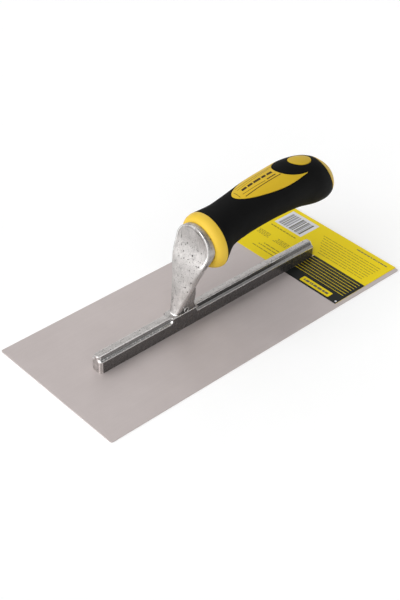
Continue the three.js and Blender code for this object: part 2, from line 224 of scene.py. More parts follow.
def weld(piece, distance=0.002):
    work = bmesh.new()
    work.from_mesh(piece.data)
    bmesh.ops.remove_doubles(work, verts=work.verts, dist=distance * MM)
    bmesh.ops.dissolve_degenerate(work, edges=work.edges, dist=distance * MM)
    bmesh.ops.delete(work, geom=[v for v in work.verts if not v.link_faces], context="VERTS")
    bmesh.ops.recalc_face_normals(work, faces=work.faces)
    work.to_mesh(piece.data)
    work.free()


def smooth_shade(piece, sharp):
    mesh = piece.data
    mesh.polygons.foreach_set("use_smooth", [True] * len(mesh.polygons))
    mesh.set_sharp_from_angle(angle=math.radians(sharp))


class Skin:
    """Points and faces gathered from rings, grids and flat patches before they become one mesh."""

    def __init__(self):
        self.points, self.faces, self.slots = [], [], []

    def add(self, points, faces, slot=0):
        first = len(self.points)
        self.points.extend(map(tuple, points))
        self.faces.extend(tuple(first + i for i in face) for face in faces)
        self.slots.extend([slot] * len(faces))

    def rings(self, rings, closed=True, slot=0):
        """Quads between rings of equal length."""
        size = len(rings[0])
        steps = size if closed else size - 1
        faces = [(k * size + i, k * size + (i + 1) % size, (k + 1) * size + (i + 1) % size, (k + 1) * size + i)
                 for k in range(len(rings) - 1) for i in range(steps)]
        self.add([p for ring in rings for p in ring], faces, slot)

    def cap(self, ring, slot=0):
        """A fan over a ring from its middle."""
        middle = np.mean(np.array(ring), axis=0)
        size = len(ring)
        self.add([*ring, middle], [(i, (i + 1) % size, size) for i in range(size)], slot)

    def loft(self, rings):
        self.rings(rings)
        self.cap(rings[0])
        self.cap(rings[-1])

    def piece(self, name, materials, sharp):
        piece = mesh_piece(name, self.points, self.faces, materials)
        piece.data.polygons.foreach_set("material_index", self.slots)
        weld(piece)
        smooth_shade(piece, sharp)
        return piece


def inside(loops, x, y):
    """Even-odd test of many points against closed loops, all in one plane."""
    result = np.zeros(len(x), bool)
    for loop in loops:
        ring = np.array(loop)
        for (x0, y0), (x1, y1) in zip(ring, np.roll(ring, -1, axis=0)):
            if y0 == y1:
                continue
            crosses = (y0 > y) != (y1 > y)
            result ^= crosses & (x < (x1 - x0) * (y - y0) / (y1 - y0) + x0)
    return result


def triangulated(loops, spacing=None, margin=0.4, lines=()):
    """Triangles over the area inside the loops, with inner points at the spacing. Lines are kept as edges."""
    points = [tuple(p) for loop in loops for p in loop]
    edges = []
    first = 0
    for loop in loops:
        edges.extend((first + i, first + (i + 1) % len(loop)) for i in range(len(loop)))
        first += len(loop)
    for line in lines:
        edges.append((len(points), len(points) + 1))
        points.extend(line)
    if spacing:
        ring = np.array(points)
        low, high = ring.min(0), ring.max(0)
        gx, gy = np.meshgrid(np.arange(low[0], high[0], spacing) + spacing / 2,
                             np.arange(low[1], high[1], spacing) + spacing / 2)
        gx, gy = gx.ravel(), gy.ravel()
        keep = inside(loops, gx, gy)
        near = np.min(np.hypot(gx[:, None] - ring[:, 0], gy[:, None] - ring[:, 1]), axis=1)
        keep &= near > margin * spacing
        points.extend(zip(gx[keep], gy[keep]))
    made = delaunay_2d_cdt([Vector(p) for p in points], edges, [], 0, 1e-5)
    flat = np.array([tuple(v) for v in made[0]])
    triangles = np.array([tuple(f) for f in made[2]])
    middle = flat[triangles].mean(axis=1)
    return flat, triangles[inside(loops, middle[:, 0], middle[:, 1])]


# ---------------------------------------------------------------- materials


class Shader:
    """One Principled material and the nodes that feed it."""

    def __init__(self, name, **values):
        self.material = bpy.data.materials.new(name)
        self.material.use_nodes = True
        self.nodes = self.material.node_tree.nodes
        self.links = self.material.node_tree.links
        self.surface = self.nodes["Principled BSDF"]
        for socket, value in values.items():
            self.surface.inputs[socket.replace("_", " ")].default_value = value
        self.place = self.nodes.new("ShaderNodeTexCoord").outputs["Object"]

    def node(self, kind, inputs=None, **settings):
        node = self.nodes.new(kind)
        for key, value in settings.items():
            setattr(node, key, value)
        for socket, value in (inputs or {}).items():
            if isinstance(value, bpy.types.NodeSocket):
                self.links.new(value, node.inputs[socket])
            else:
                node.inputs[socket].default_value = value
        return node

    def stretched(self, x, y, z):
        """Coordinates scaled unevenly, in units per metre."""
        return self.node("ShaderNodeMapping", {"Vector": self.place, "Scale": (x, y, z)}).outputs["Vector"]

    def noise(self, size, detail=2, rough=0.5, place=None):
        """Soft noise whose blotches are about the size across, in millimetres."""
        scale = 1 / (size * MM) if place is None else 1
        return self.node("ShaderNodeTexNoise", {"Vector": place or self.place, "Scale": scale, "Detail": detail,
                                                "Roughness": rough}).outputs["Fac"]

    def cells(self, size):
        node = self.node("ShaderNodeTexVoronoi", {"Vector": self.place, "Scale": 1 / (size * MM)})
        return node.outputs["Distance"], node.outputs["Color"]

    def ranged(self, value, low, high, to_low, to_high):
        node = self.node("ShaderNodeMapRange", {"Value": value, "From Min": low, "From Max": high,
                                                "To Min": to_low, "To Max": to_high})
        return node.outputs["Result"]

    def maths(self, operation, a, b=0.0):
        return self.node("ShaderNodeMath", {0: a, 1: b}, operation=operation).outputs["Value"]

    def blend(self, factor, a, b):
        node = self.node("ShaderNodeMix", {0: factor}, data_type="RGBA")
        for socket, value in ((6, a), (7, b)):
            if isinstance(value, bpy.types.NodeSocket):
                self.links.new(value, node.inputs[socket])
            else:
                node.inputs[socket].default_value = (*value, 1)
        return node.outputs[2]

    def bump(self, height, depth, below=None):
        """Relief of the depth in millimetres, over an earlier bump if one is given."""
        inputs = {"Height": height, "Distance": depth * MM, "Strength": 1.0}
        if below is not None:
            inputs["Normal"] = below
        return self.node("ShaderNodeBump", inputs).outputs["Normal"]

    def feed(self, **sockets):
        for socket, value in sockets.items():
            self.links.new(value, self.surface.inputs[socket.replace("_", " ")])
        return self.material


def floor_paper():
    s = Shader("floor_paper", Roughness=0.9, Specular_IOR_Level=0.0, Emission_Color=(1, 1, 1, 1),
               Emission_Strength=0.115)
    tone = s.blend(s.noise(40), (0.90, 0.90, 0.90), (0.93, 0.93, 0.93))
    return s.feed(Base_Color=tone)


def blade_steel():
    """Cold-rolled spring steel: fine lengthwise grain, soft clouding and a few hairline scratches."""
    s = Shader("blade_steel", Metallic=0.55)
    grain = s.noise(1, 3, 0.6, s.stretched(25, 900, 900))
    clouds = s.noise(30, 4, 0.6)
    scratches = s.noise(1, 1, 0.5, s.stretched(1500, 14, 200))
    scratch = s.ranged(scratches, 0.70, 0.76, 0, 1)
    colour = s.blend(s.ranged(clouds, 0.35, 0.65, 0, 1), (0.57, 0.512, 0.50), (0.605, 0.547, 0.535))
    rough = s.maths("ADD", s.ranged(clouds, 0.3, 0.7, 0.60, 0.68), s.ranged(grain, 0.3, 0.7, -0.04, 0.04))
    relief = s.bump(scratch, 0.004, s.bump(grain, 0.006))
    return s.feed(Base_Color=colour, Roughness=rough, Normal=relief)


# flank, edge and ledge choose the copies with painted shade, painted highlights and painted light.
def cast_aluminium(name, flank=False, edge=False, ledge=False):
    """Die-cast aluminium, tumbled: pale, with small dark pits that gather in drifts. The flank copy is darker:
    painted shade on the rib's sides, the web and the head's sides. It is darker still low on the rib and darkest on
    the wall of the rib's step behind the neck. The ledge copy is paler and smoother, which is painted light. The
    edge copy is bright and smooth, which is a painted highlight."""
    s = Shader(name, Metallic=1.0)
    mottling = s.noise(5, 5, 0.65)
    drifts = s.noise(15, 2, 0.5)
    fine = s.noise(0.8, 3, 0.65)
    gathered = s.ranged(drifts, 0.42, 0.58, 0.40, 1.0)
    pits = []
    for size, threshold, reach in ((2.0, 0.34, 0.38), (0.95, 0.34, 0.38)):
        distance, colour = s.cells(size)
        chance = s.node("ShaderNodeSeparateColor", {"Color": colour}).outputs["Red"]
        radius = s.maths("MULTIPLY", s.ranged(chance, threshold, 1.0, 0.0, reach), gathered)
        pits.append(s.ranged(s.maths("SUBTRACT", distance, radius), -0.10, 0.0, 1, 0))
    streaks = s.noise(1, 3, 0.6, s.stretched(900, 900, 70))
    streak = s.maths("MULTIPLY", s.ranged(streaks, 0.585, 0.66, 0, 0.85), s.ranged(drifts, 0.44, 0.54, 1, 0.2))
    pit = s.maths("MAXIMUM", s.maths("MAXIMUM", pits[0], pits[1]), streak)
    speck = s.ranged(s.noise(0.45, 2, 0.7), 0.30, 0.42, 0.75, 0)
    marks = s.maths("MAXIMUM", pit, speck)
    if flank:
        # Painted shade: darker below 14 to 22 mm up, a little lighter on the step's wall, and darkest on that wall
        # behind the neck.
        axes = s.node("ShaderNodeSeparateXYZ", {"Vector": s.place}).outputs
        above = s.ranged(axes["Z"], 14 * MM, 22 * MM, 0, 1)
        inner = s.ranged(s.maths("ABSOLUTE", axes["Y"]), 3.7 * MM, 4.3 * MM, 1, 0)
        recess_shade = s.maths("MULTIPLY", s.ranged(axes["X"], -30 * MM, -20 * MM, 0, 1),
                        s.ranged(axes["X"], 60 * MM, 80 * MM, 1, 0))
        low_shade = s.blend(mottling, (0.115, 0.11, 0.108), (0.20, 0.193, 0.19))
        low_shade = s.blend(inner, low_shade, (0.24, 0.232, 0.228))
        low_shade = s.blend(s.maths("MULTIPLY", inner, recess_shade), low_shade, (0.05, 0.048, 0.047))
        high_shade = s.blend(mottling, (0.36, 0.345, 0.335), (0.48, 0.465, 0.455))
        ground = s.blend(above, low_shade, high_shade)
        rough = s.ranged(mottling, 0.3, 0.7, 0.20, 0.32)
        s.surface.inputs["Metallic"].default_value = 0.8
        marks = s.maths("MULTIPLY", marks, 0.5)
    # Painted light: a paler, smoother copy for the ledges and the ejector ring.
    elif ledge:
        ground = s.blend(mottling, (0.54, 0.528, 0.52), (0.74, 0.724, 0.714))
        rough = s.ranged(mottling, 0.3, 0.7, 0.30, 0.42)
        marks = s.maths("MULTIPLY", marks, 0.6)
    # Painted highlights: a bright, smooth copy for the lips, corners and rims.
    elif edge:
        ground = s.blend(mottling, (0.86, 0.85, 0.84), (0.96, 0.95, 0.94))
        rough = s.ranged(mottling, 0.3, 0.7, 0.18, 0.30)
        marks = s.maths("MULTIPLY", marks, 0.35)
    else:
        ground = s.blend(s.ranged(mottling, 0.35, 0.65, 0, 1), (0.44, 0.422, 0.411), (0.60, 0.576, 0.562))
        rough = s.ranged(mottling, 0.3, 0.7, 0.36, 0.50)
    tone = s.blend(marks, ground, (0.09, 0.085, 0.08))
    rough = s.maths("ADD", rough, s.maths("MULTIPLY", marks, 0.3))
    relief = s.bump(s.maths("SUBTRACT", 0.0, pit), 0.10, s.bump(mottling, 0.05, s.bump(fine, 0.035)))
    return s.feed(Base_Color=tone, Roughness=rough, Normal=relief)


def bare_metal(name, light, dark, roughness):
    """Turned or plated metal of the small fasteners."""
    s = Shader(name, Metallic=1.0)
    wear = s.noise(1.2, 3, 0.6)
    rough = s.ranged(wear, 0.3, 0.7, roughness - 0.06, roughness + 0.06)
    return s.feed(Base_Color=s.blend(wear, dark, light), Roughness=rough, Normal=s.bump(wear, 0.02))


def yellow_plastic(name, dark, light, sheen):
    """Satin moulded polypropylene with a faint mould grain."""
    s = Shader(name, Specular_IOR_Level=sheen, Subsurface_Weight=0.06, Subsurface_Radius=(0.004, 0.002, 0.0006),
               Subsurface_Scale=0.5)
    handled = s.noise(14, 3, 0.55)
    grain = s.noise(0.45, 2, 0.5)
    rough = s.ranged(handled, 0.3, 0.7, 0.38, 0.52)
    return s.feed(Base_Color=s.blend(handled, dark, light), Roughness=rough, Normal=s.bump(grain, 0.012))


def thick_yellow(name):
    """The plastic where it is thick, as in the collar and the butt: a paler copy of the yellow, with painted light
    in its colour.
    """
    return yellow_plastic(name, (0.68, 0.452, 0.041), (0.735, 0.496, 0.052), 0.22)


def black_rubber():
    """Soft-touch moulded rubber: matt, very dark, with a fine leathery grain."""
    s = Shader("black_rubber", Specular_IOR_Level=0.10)
    dust = s.noise(11, 4, 0.6)
    grain = s.noise(0.55, 2, 0.55)
    tone = s.blend(dust, (0.0024, 0.0025, 0.0026), (0.0046, 0.0047, 0.0048))
    rough = s.ranged(dust, 0.3, 0.7, 0.60, 0.76)
    return s.feed(Base_Color=tone, Roughness=rough, Normal=s.bump(grain, 0.03))


def ink(name, dark, light):
    """Printing, with the slight unevenness of the card or plastic under it."""
    s = Shader(name, Specular_IOR_Level=0.12)
    fibre = s.noise(0.9, 3, 0.6)
    wave = s.noise(24, 1, 0.5)
    relief = s.bump(wave, 0.25, s.bump(fibre, 0.008))
    return s.feed(Base_Color=s.blend(fibre, dark, light), Roughness=s.ranged(fibre, 0.3, 0.7, 0.42, 0.56),
                  Normal=relief)


# ---------------------------------------------------------------- grip surface

top_line, bottom_line = curve(GRIP_TOP), curve(GRIP_BOTTOM)


def grip_lean(s):
    return COLLAR["lean"] * (1 - smoothstep(s, COLLAR["rim_x"], 40))


def grip_section(s):
    """Height of the centre, half width and half height of the grip's section at station s."""
    sigma = np.clip((s - GRIP["close_x"]) / (GRIP["end_x"] - GRIP["close_x"]), 0, 1)
    opened = np.sqrt(1 - sigma ** GRIP["power"])
    top = GRIP["end_z"] + (top_line(s) - GRIP["end_z"]) * opened
    bottom = GRIP["end_z"] - (GRIP["end_z"] - bottom_line(s)) * opened
    half = (top - bottom) / 2
    width = half * mix(1, GRIP["width"], np.clip((s - COLLAR["rim_x"]) / 12, 0, 1))
    return (top + bottom) / 2, width, half


def grip_at(s, angle, inset=0.0):
    """Points on the grip's surface, or under it by the inset. Angle 0 is towards +Y and a quarter turn is up."""
    s, angle, inset = np.broadcast_arrays(*(np.asarray(v, float) for v in (s, angle, inset)))
    centre, width, half = grip_section(s)
    up = (half - inset) * np.sin(angle)
    return np.stack([s - grip_lean(s) * up, (width - inset) * np.cos(angle), centre + up], axis=-1)


def grip_under_plan(x, y):
    """Station and angle of the point of the grip's top that lies over (x, y)."""
    x, y = np.asarray(x, float), np.asarray(y, float)
    s = x.copy()
    for _ in range(12):
        _, width, half = grip_section(s)
        angle = np.arccos(np.clip(y / width, -1, 1))
        s = x + grip_lean(s) * half * np.sin(angle)
    return s, angle


def butt_station(angle, shift=0.0):
    """Station where the grip's surface meets the sloping plane of the butt cap."""
    angle = np.asarray(angle, float)
    s = np.full_like(angle, BUTT["x"])
    for _ in range(60):
        point = grip_at(s, angle)
        target = BUTT["x"] + shift + BUTT["slope"] * (BUTT["z"] - point[..., 2])
        s = s + 0.6 * (target - point[..., 0])
    return s


INLAY = {"front": 20, "half": 13.8, "widest": 67, "tail": 83.2, "scoop": 80, "along": 20.2, "across": 11.8}
OVAL = {"x": 85.3, "along": 10.5, "across": 7}


def inlay_outline(grow):
    """Top inlay in plan: a drop with a round front, long flanks, and a scooped rear with two tails."""
    front, half, widest = INLAY["front"] - grow, INLAY["half"] + grow, INLAY["widest"]
    along, across, tail = INLAY["along"] - grow, INLAY["across"] - grow, INLAY["tail"] + 3 * grow
    t = np.linspace(0, 1, 40)[:, None]
    flank = ((1 - t) ** 3 * (front, 0) + 3 * (1 - t) ** 2 * t * (front, -7.6) + 3 * (1 - t) * t ** 2 * (42, -half)
             + t ** 3 * (widest, -half))
    t = np.linspace(0, 1, 12)[1:, None]
    taper = (1 - t) ** 2 * (widest, -half) + 2 * (1 - t) * t * (75, -half) + t ** 2 * (tail, -across)
    turn = np.linspace(-0.5, -1, 24)[:, None] * math.pi
    scoop = np.hstack([INLAY["scoop"] + along * np.cos(turn), across * np.sin(turn)])
    near = np.vstack([flank, taper, scoop])
    mirrored = near[1:-1][::-1] * (1, -1)
    return np.vstack([near, mirrored])


def oval_outline(grow):
    turn = full_turn(72)
    return np.stack([OVAL["x"] + (OVAL["along"] + grow) * np.cos(turn), (OVAL["across"] + grow) * np.sin(turn)],
                    axis=-1)


def on_grip(outline):
    """A plan outline laid on the grip's surface, in (station, angle)."""
    s, angle = grip_under_plan(outline[:, 0], outline[:, 1])
    return np.stack([s, angle], axis=-1)


LIP = 0.45  # radius of the rounded edges of rubber and inlays
LIP_TURNS = np.linspace(0, math.pi / 2, 5)


def lip_steps(clearance, sign):
    """(grow, inset) pairs that round an edge over into a wall. Sign is +1 round a hole and -1 round a pad."""
    return [(sign * (clearance + LIP * (1 - math.sin(a))), LIP * (1 - math.cos(a))) for a in LIP_TURNS]


ROUND = 16.0  # mean radius of the grip, which turns an angle into a length for even triangles
SEAM = -math.pi / 2


def patch(skin, loops, inset, spacing, slot=0, flip=False):
    """A piece of the grip's surface inside loops of (station, angle)."""
    flat, triangles = triangulated([np.array(loop) * (1, ROUND) for loop in loops], spacing)
    points = grip_at(flat[:, 0], flat[:, 1] / ROUND, inset)
    skin.add(points, [tuple(t[::-1] if flip else t) for t in triangles], slot)


def ruled(start, end, width):
    """Outline in plan of a printed line, with enough points to follow the grip."""
    start, end = np.array(start, float), np.array(end, float)
    along = np.linspace(0, 1, int(np.hypot(*(end - start)) / 1.2) + 2)[:, None]
    aside = np.array([start[1] - end[1], end[0] - start[0]]) / np.hypot(*(end - start)) * width / 2
    return np.vstack([start + along * (end - start) - aside, (start + along * (end - start) + aside)[::-1]])


INLAY_LINES = [((23.4, -3.7), (23.4, 2.8), 0.4), ((27, -5.5), (60.8, -5.5), 0.55), ((27, 5.5), (60.8, 5.5), 0.4),
               ((26.5, -2.9), (47, -4.0), 0.35), ((26.5, 2.9), (58, 4.0), 0.3),
               ((28.5, 0.2), (33, 0.2), 2.0), ((34, 0.1), (38.5, 0.1), 2.0), ((39.5, 0), (46, -0.1), 2.0),
               ((47, -0.1), (51, -0.2), 2.0), ((52, -0.2), (57, -0.3), 2.0), ((49, -3.7), (57.5, -3.6), 0.8)]


def pad(outline, depth, clearance, lines=()):
    """An inlay: its top follows the grip, its edge is rounded and its wall goes down by the depth."""
    lines = [on_grip(line) for line in lines]
    skin = Skin()
    steps = lip_steps(clearance, -1)
    rings = []
    for grow, inset in [*steps, (steps[-1][0], depth)]:
        loop = on_grip(outline(grow))
        rings.append(grip_at(loop[:, 0], loop[:, 1], inset))
    skin.rings(rings, slot=1)
    patch(skin, [on_grip(outline(steps[0][0])), *lines], 0.0, 1.1, slot=1)
    for line in lines:
        patch(skin, [line], 0.0, 50, slot=2)
    patch(skin, [on_grip(outline(steps[-1][0]))], depth, 2.5, slot=1, flip=True)
    return skin


# ---------------------------------------------------------------- grip pieces


def make_grip_core():
    """Yellow core: collar, hidden body, and the two inlays that show through the rubber."""
    skin = Skin()
    angles = full_turn(128)
    bore = SPIGOT["radius"] + 2 * GAP

    def collar_ring(x, centre, radius):
        up = radius * np.sin(angles)
        return np.stack([x - COLLAR["lean"] * up, radius * np.cos(angles), centre + up], axis=-1)

    rings = [collar_ring(COLLAR["rim_x"] - 1, COLLAR["rim_z"], bore)]
    rings.append(collar_ring(COLLAR["lip_x"] + 0.6, COLLAR["lip_z"], bore))
    for turn in np.linspace(0, math.pi / 2, 4):
        rings.append(collar_ring(COLLAR["lip_x"] + 0.35 * (1 - math.sin(turn)), COLLAR["lip_z"],
                                 bore + 0.35 * (1 - math.cos(turn))))
    for turn in np.linspace(0, math.pi / 2, 22):
        back = 1 - math.cos(turn)
        rings.append(collar_ring(mix(COLLAR["lip_x"], COLLAR["rim_x"] - LIP, back),
                                 mix(COLLAR["lip_z"], COLLAR["rim_z"], back),
                                 mix(COLLAR["lip_r"], COLLAR["rim_r"], math.sin(turn))))
    for turn in LIP_TURNS[1:]:
        rings.append(collar_ring(COLLAR["rim_x"] - LIP * (1 - math.sin(turn)), COLLAR["rim_z"],
                                 COLLAR["rim_r"] - LIP * (1 - math.cos(turn))))
    inner = GRIP["wall"] + GAP
    stations = np.linspace(COLLAR["rim_x"], GRIP["close_x"], 40)
    rings += [grip_at(np.full_like(angles, s), angles, inner) for s in stations]
    rings.append(grip_at(butt_station(angles, -GAP), angles, inner))
    skin.rings(rings)
    skin.cap(rings[-1])
    skin.cap(rings[0])
    pads = [pad(inlay_outline, inner + 0.4, SNUG, [ruled(*line) for line in INLAY_LINES]),
            pad(oval_outline, inner + 0.4, SNUG)]
    plastics = [thick_yellow("yellow_collar"),
                yellow_plastic("yellow_inlay", (0.60, 0.40, 0.020), (0.66, 0.44, 0.026), 0.16),
                ink("inlay_line", (0.030, 0.018, 0.008), (0.050, 0.030, 0.012))]
    core = fused("grip_core", [skin, *pads], plastics, 50)
    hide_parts("handle_core")
    return core


def make_rubber_cover():
    """Black cover: one wall all round the core, open for the inlays, with every rim rounded over."""
    skin = Skin()
    angles = SEAM + np.linspace(0, 2 * math.pi, 129)
    wall = GRIP["wall"]
    front = COLLAR["rim_x"] + SNUG

    def area(grow_windows, inset, from_rim, spacing, flip):
        start = np.full_like(angles, front + from_rim)
        end = butt_station(angles, -GAP / 2 - from_rim)
        seam_steps = np.linspace(0, 1, 90)[1:-1]
        right = np.stack([mix(start[-1], end[-1], seam_steps), np.full_like(seam_steps, angles[-1])], axis=-1)
        left = np.stack([mix(start[0], end[0], seam_steps), np.full_like(seam_steps, angles[0])], axis=-1)
        outer = np.vstack([np.stack([start, angles], axis=-1), right,
                           np.stack([end, angles], axis=-1)[::-1], left[::-1]])
        windows = [on_grip(inlay_outline(grow_windows)), on_grip(oval_outline(grow_windows))]
        patch(skin, [outer, *windows], inset, spacing, flip=flip)

    area(SNUG + LIP, 0.0, LIP, 1.15, False)
    area(SNUG, wall, 0.0, 2.4, True)
    steps = lip_steps(SNUG, 1)
    for outline in (inlay_outline, oval_outline):
        rings = []
        for grow, inset in [*steps, (steps[-1][0], wall)]:
            loop = on_grip(outline(grow))
            rings.append(grip_at(loop[:, 0], loop[:, 1], inset))
        skin.rings(rings)
    round_over = [(LIP * (1 - math.sin(a)), LIP * (1 - math.cos(a))) for a in LIP_TURNS] + [(0.0, wall)]
    skin.rings([grip_at(np.full_like(angles, front + back), angles, inset) for back, inset in round_over],
               closed=False)
    skin.rings([grip_at(butt_station(angles, -GAP / 2 - back), angles, inset) for back, inset in round_over],
               closed=False)
    cover = skin.piece("grip_cover", [black_rubber()], 50)
    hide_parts("rubber_grip")
    return cover


def make_butt_cap():
    skin = Skin()
    angles = full_turn(128)
    rings = []
    for turn in LIP_TURNS[::-1]:
        rings.append(grip_at(butt_station(angles, LIP * (1 - math.sin(turn))), angles, LIP * (1 - math.cos(turn))))
    start = butt_station(angles, LIP)
    last = GRIP["end_x"]
    for t in np.linspace(0, 1, 40)[1:]:
        reach = 1 - (1 - t) ** 2
        rings.append(grip_at(mix(start, last - 0.002, reach), angles))
    skin.loft(rings)
    cap = skin.piece("grip_butt", [thick_yellow("yellow_butt")], 50)
    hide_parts("butt_cap")
    return cap


# ---------------------------------------------------------------- casting


FACE, PAINTED_SHADE, PAINTED_HIGHLIGHT, LIT_LEDGE = range(4)  # the casting's material slots: plain metal, a darker copy with painted shade, a bright copy with painted highlights, and a paler copy with painted light

# Half of the rib's section as (inwards from the side, above or below) steps, from the blade up to the top's middle.
# The first five heights are above the ledge, and the rest are below the top.
TOE_SECTION = [(0, -0.3), (0.05, 0), (0.15, 0.2), (0.5, 0.45), (1.1, 0.75), (1.6, -2.8), (1.95, -2.3),
               (2.2, -1.5), (2.4, -0.6), (2.55, -0.12), (2.9, 0)]
HEEL_SECTION = [(0, -0.3), (0.05, 0), (0.15, 0.2), (0.5, 0.42), (1.05, 0.68), (1.55, -2.9), (1.95, -2.2),
                (2.25, -1.4), (2.5, -0.55), (2.62, -0.12), (2.9, 0)]
END_SECTION = [(0, -0.3), (0.05, 0), (0.15, 0.25), (0.5, 0.55), (1.05, 1.0), (1.5, -2.8), (2.0, -2.0), (2.4, -1.3),
               (2.8, -0.65), (3.2, -0.25), (3.7, 0)]
PLAIN_SECTION = [(0, -1.4), (0, -1.3), (0, -1.2), (0, -1.1), (0, -1.0), (0, -0.9), (0, -0.8), (0, -0.6),
                 (0.02, -0.4), (0.14, -0.12), (0.4, 0)]
# Slots of the section's steps: painted shade on the side and the step's wall, painted highlights on the lips,
# painted light on the ledge. At the toe the whole ledge takes the painted highlight.
RIB_STEP_SLOTS = {0: PAINTED_SHADE, 1: PAINTED_HIGHLIGHT, 2: PAINTED_HIGHLIGHT, 3: LIT_LEDGE, 4: LIT_LEDGE, 5: LIT_LEDGE, 6: PAINTED_SHADE, 7: PAINTED_SHADE, 8: PAINTED_SHADE, 9: PAINTED_HIGHLIGHT,
                  10: PAINTED_HIGHLIGHT}
TOE_STEP_SLOTS = {0: PAINTED_SHADE, 1: PAINTED_HIGHLIGHT, 2: PAINTED_HIGHLIGHT, 3: PAINTED_HIGHLIGHT, 4: PAINTED_HIGHLIGHT, 5: PAINTED_HIGHLIGHT, 6: PAINTED_SHADE, 7: PAINTED_SHADE, 8: PAINTED_SHADE, 9: PAINTED_HIGHLIGHT,
                  10: PAINTED_HIGHLIGHT}
RECESS = {"toe_to": -38.5, "heel_from": -17.2, "length": 3.0}  # where the stepped upper edge of the rib runs out
TOE_PAINTED_HIGHLIGHTS = ((0.10, 0.28), (0.72, 0.9))  # painted highlights on stretches of the toe's round corners, from end to side


def rib_stations():
    toe, heel, corner = RIB["toe"], RIB["heel"], RIB["corner"]
    ends = corner * (1 - np.cos(np.linspace(0, math.pi / 2, 14)))
    run_out = 3 * (1 - np.cos(np.linspace(0, math.pi / 2, 16)))
    spread = [toe + ends, heel - ends, RECESS["heel_from"] + run_out, RECESS["toe_to"] - run_out,
              np.arange(toe + corner, heel - corner, 1.4)]
    return np.unique(np.concatenate(spread).round(4))


def rib_section(x):
    """Right half of the rib's section at a station: (y, z) points from the blade up to the top."""
    top = float(curve(RIB_TOP)(x))
    ledge = float(curve(RIB_LEDGE)(x))
    from_end = min(x - RIB["toe"], RIB["heel"] - x)
    into = max(RIB["corner"] - from_end, 0)
    half = RIB["half"] - RIB["corner"] + math.sqrt(max(RIB["corner"] ** 2 - into ** 2, 0))
    for radius, distance in ((4, RIB["heel"] - x), (1.2, x - RIB["toe"])):
        if distance < radius:
            drop = radius - math.sqrt(max(radius ** 2 - (radius - distance) ** 2, 0))
            top -= drop
    if x < -22:
        t = np.clip((x - RECESS["toe_to"]) / RECESS["length"] + 1, 0, 1)
        cut, stepped = math.sqrt(1 - t * t), TOE_SECTION
    else:
        t = np.clip((x - RECESS["heel_from"]) / RECESS["length"], 0, 1)
        fade = float(smoothstep(x, 55, 85))
        cut, stepped = math.sqrt(1 - (1 - t) ** 2), mix(np.array(HEEL_SECTION), np.array(END_SECTION), fade)
    ledge = min(ledge, top - 3.7)
    points = [(half, BLADE_TOP)]
    for i, ((y0, z0), (y1, z1)) in enumerate(zip(PLAIN_SECTION, stepped)):
        level = ledge if i < 5 else top
        points.append((max(half - mix(y0, y1, cut), 0.05), mix(top + z0, level + z1, cut)))
    return points


def rib_shell():
    skin = Skin()
    stations = rib_stations()
    rings = []
    for x in stations:
        right = rib_section(x)
        rings.append([(x, y, z) for y, z in right] + [(x, -y, z) for y, z in right[::-1]])
    size = len(rings[0])
    skin.loft(rings)
    # Painted shade on the rib's sides, also under the neck; at the round ends the side is plain metal, with painted
    # highlights on stretches of the toe's corners.
    for k in range(len(stations) - 1):
        near = min(stations[k] - RIB["toe"], RIB["heel"] - stations[k + 1])
        turned = math.acos(np.clip(1 - near / RIB["corner"], -1, 1)) / (math.pi / 2)
        for i in range(size):
            step = min(i, size - 2 - i)
            slot = (TOE_STEP_SLOTS if stations[k] < RECESS["toe_to"] else RIB_STEP_SLOTS).get(step, FACE)
            if step == size // 2 - 1:
                slot = FACE
            elif RECESS["toe_to"] - 0.5 < stations[k] < RECESS["heel_from"] and step < 9:
                slot = PAINTED_SHADE
            if slot == PAINTED_SHADE and turned < 0.9:
                slot = PAINTED_HIGHLIGHT if any(a <= turned < b for a, b in TOE_PAINTED_HIGHLIGHTS) else FACE
            skin.slots[k * size + i] = slot
    return skin


NECK_FRONT = 64  # faces round the front of the neck, from one side to the other
HEAD_SIDE = [PAINTED_SHADE] * 13 + [PAINTED_HIGHLIGHT] * 4  # slots of each side of the head, from behind to the rim of its face: painted shade over its rounding, then a painted highlight along the rim


